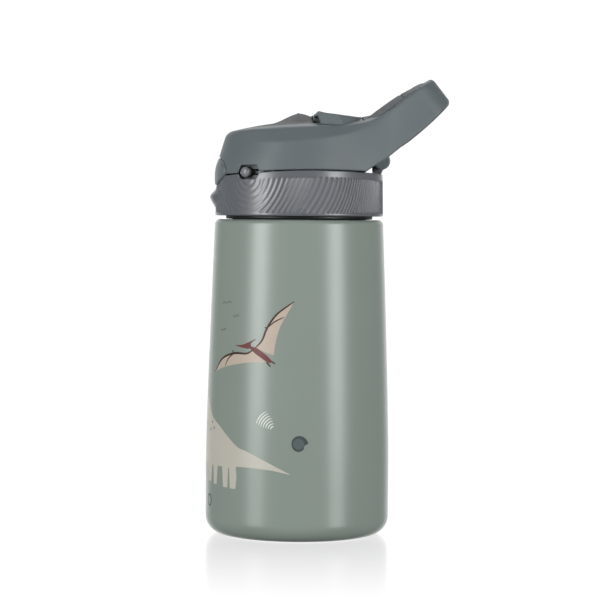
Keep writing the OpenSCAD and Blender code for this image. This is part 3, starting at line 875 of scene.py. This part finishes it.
def lid():
    """The fine outer pieces of the lid."""
    cover_low = (-33.5, -33.5, 16)
    cover_high = (59.5, 33.5, 56)
    lid_pieces = [
        ("cover_outer", cover_shell, cover_low, cover_high, 0.45,
         LID, "cover", "cover_shell", "lid_plastic"),
        ("top_panel", top_insert, (-22, -22, 33), (7, 22, 43), 0.4,
         INSERT, "cover", "top_insert", "insert_plastic"),
        ("loop_lining", grip_insert, (23, -24, 21), (58, 24, 56), 0.4,
         GRIP, "cover", "grip_insert", "grip_rubber"),
        ("grip_ring", collar, (-36, -33.5, 0), (35.5, 33.5, 25), 0.3,
         COLLAR, "lid_base", "collar", "collar_plastic"),
        ("button_cap", push_button, (-34, -16, 11), (-23, 16, 23), 0.3,
         BUTTON, "button", "push_button", "button_plastic"),
        ("lock_knob", lock_slider, (-26, -31, 13), (-11, -16, 20), 0.25,
         KNOB, "lock", "lock_slider", "knob_plastic"),
    ]
    for name, field, low, high, step, material, body, node, slot in lid_pieces:
        piece(name, surface(field, low, high, step), material, body, lift=LID_Z, nodes=[node])


def dress_cad_nodes():
    """Gives each CAD node that stays in view its own finish."""
    finishes = {
        STEEL: ["inner_liner", "base_plate", "neck_thread"],
        GETTER: ["getter"],
        CLEAR: ["neck_gasket", "vent_valve", "bite_tip", "tip_seal"],
        # thread_core, core_thread and lock_plate are made near black as painted shade for the neck gap and
        # the lock window's recess.
        PAINTED_SHADE: ["thread_core", "core_thread", "lock_plate"],
        PIN: ["hinge_pin", "button_spring", "hinge_spring"],
        INNER: ["spout_socket", "spout_arm", "cover_liner"],
        STRAW: ["straw"],
    }
    for material, names in finishes.items():
        for name in names:
            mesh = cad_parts[name].data
            mesh.materials.clear()
            mesh.materials.append(material)


# ------------------------------------------------------------------ studio

ROOM_LIGHT = 0.1
WALL_LIGHT = 1.65
CEILING_SHARE = 0.15
STRIP_POWER = 11
RIM_POWER = 5
TABLE_LIGHT = 0.2
LENS = 136.9
CAMERA_PITCH = 2.094
CAMERA_ROLL = 0.47
CAMERA_PLACE = (0.0006, -0.899, 0.1246)


def floor():
    """Glossy white table that melts into the background; the bottle doesn't reflect it."""
    mesh = bpy.data.meshes.new("floor")
    reach = 6.0
    corners = [(-reach, -reach, 0), (reach, -reach, 0), (reach, reach, 0), (-reach, reach, 0)]
    mesh.from_pydata(corners, [], [(0, 1, 2, 3)])
    ground = bpy.data.objects.new("floor", mesh)
    ground.location.z = -0.0002
    bpy.context.scene.collection.objects.link(ground)
    material = bpy.data.materials.new("floor_gloss")
    material.use_nodes = True
    tree = material.node_tree
    tree.nodes.clear()
    out = tree.nodes.new("ShaderNodeOutputMaterial")
    mix = tree.nodes.new("ShaderNodeMixShader")
    glow = tree.nodes.new("ShaderNodeEmission")
    gloss = tree.nodes.new("ShaderNodeBsdfGlossy")
    place = tree.nodes.new("ShaderNodeTexCoord")
    length = tree.nodes.new("ShaderNodeVectorMath")
    length.operation = "LENGTH"
    fade = tree.nodes.new("ShaderNodeMapRange")
    fade.interpolation_type = "SMOOTHSTEP"
    fade.inputs["From Min"].default_value = 0.03
    fade.inputs["From Max"].default_value = 0.19
    fade.inputs["To Min"].default_value = 0.32
    fade.inputs["To Max"].default_value = 0.02
    tree.links.new(place.outputs["Object"], length.inputs[0])
    tree.links.new(length.outputs["Value"], fade.inputs["Value"])
    tree.links.new(fade.outputs["Result"], mix.inputs["Fac"])
    path = tree.nodes.new("ShaderNodeLightPath")
    level = tree.nodes.new("ShaderNodeMapRange")
    level.inputs["To Min"].default_value = TABLE_LIGHT
    level.inputs["To Max"].default_value = 1.04
    tree.links.new(path.outputs["Is Camera Ray"], level.inputs["Value"])
    tree.links.new(level.outputs["Result"], glow.inputs["Strength"])
    gloss.inputs["Roughness"].default_value = 0.18
    tree.links.new(glow.outputs[0], mix.inputs[1])
    tree.links.new(gloss.outputs[0], mix.inputs[2])
    tree.links.new(mix.outputs[0], out.inputs["Surface"])
    mesh.materials.append(material)
    ground.visible_glossy = False


def background():
    """White seen by the camera; what lights the object is a white wall behind it and a dim room in front."""
    world = bpy.data.worlds.new("studio")
    bpy.context.scene.world = world
    world.use_nodes = True
    tree = world.node_tree
    room = tree.nodes["Background"]
    seen = tree.nodes.new("ShaderNodeBackground")
    seen.inputs["Strength"].default_value = 1.05
    room.inputs["Color"].default_value = (1, 1, 1, 1)
    seen.inputs["Color"].default_value = (1, 1, 1, 1)
    place = tree.nodes.new("ShaderNodeTexCoord")
    split = tree.nodes.new("ShaderNodeSeparateXYZ")
    tree.links.new(place.outputs["Generated"], split.inputs["Vector"])

    def ramp(value, start, end, low, high):
        node = tree.nodes.new("ShaderNodeMapRange")
        node.interpolation_type = "SMOOTHSTEP"
        for name, number in (("From Min", start), ("From Max", end), ("To Min", low), ("To Max", high)):
            node.inputs[name].default_value = number
        tree.links.new(value, node.inputs["Value"])
        return node.outputs["Result"]

    behind = ramp(split.outputs["Y"], 0.7, 0.97, ROOM_LIGHT, WALL_LIGHT)
    overhead = ramp(split.outputs["Z"], 0.1, 0.9, 1.0, CEILING_SHARE)
    level = tree.nodes.new("ShaderNodeMath")
    level.operation = "MULTIPLY"
    tree.links.new(behind, level.inputs[0])
    tree.links.new(overhead, level.inputs[1])
    tree.links.new(level.outputs[0], room.inputs["Strength"])
    path = tree.nodes.new("ShaderNodeLightPath")
    mix = tree.nodes.new("ShaderNodeMixShader")
    tree.links.new(path.outputs["Is Camera Ray"], mix.inputs["Fac"])
    tree.links.new(room.outputs[0], mix.inputs[1])
    tree.links.new(seen.outputs[0], mix.inputs[2])
    tree.links.new(mix.outputs[0], tree.nodes["World Output"].inputs["Surface"])


def softbox(name, azimuth, elevation, distance, width, height, power, aim_z):
    """Area light at an azimuth from the camera's side, turned to the bottle."""
    light = bpy.data.lights.new(name, "AREA")
    light.shape = "RECTANGLE"
    light.size = width
    light.size_y = height
    light.energy = power
    made = bpy.data.objects.new(name, light)
    flat = distance * math.cos(math.radians(elevation))
    up = distance * math.sin(math.radians(elevation))
    turn = math.radians(azimuth)
    made.location = (flat * math.sin(turn), -flat * math.cos(turn), aim_z + up)
    away = made.location - Vector((0, 0, aim_z))
    made.rotation_euler = away.to_track_quat("Z", "Y").to_euler()
    bpy.context.scene.collection.objects.link(made)


def camera():
    """Long lens at the height of the lid's foot, pitched slightly down."""
    data = bpy.data.cameras.new("camera")
    data.lens = LENS
    data.sensor_width = 36
    made = bpy.data.objects.new("camera", data)
    pitch = Matrix.Rotation(math.radians(90 - CAMERA_PITCH), 4, "X")
    roll = Matrix.Rotation(math.radians(CAMERA_ROLL), 4, "Z")
    made.matrix_world = Matrix.Translation(CAMERA_PLACE) @ pitch @ roll
    bpy.context.scene.collection.objects.link(made)
    bpy.context.scene.camera = made


def studio():
    """Floor, background, lights and camera."""
    floor()
    background()
    softbox("strip_left", azimuth=-52, elevation=0, distance=0.9, width=0.34, height=0.8,
            power=STRIP_POWER, aim_z=0.1)
    softbox("strip_right", azimuth=50, elevation=0, distance=0.9, width=0.3, height=0.8,
            power=STRIP_POWER * 0.9, aim_z=0.1)
    softbox("rim", azimuth=180, elevation=52, distance=1.0, width=0.7, height=0.4,
            power=RIM_POWER, aim_z=0.15)
    camera()
    bpy.context.scene.view_settings.view_transform = "Standard"


outer_shell()
# Black ring painted as the shade in the gap under the grip ring.
gap_shade_ring()
decoration()
lid()
dress_cad_nodes()
studio()
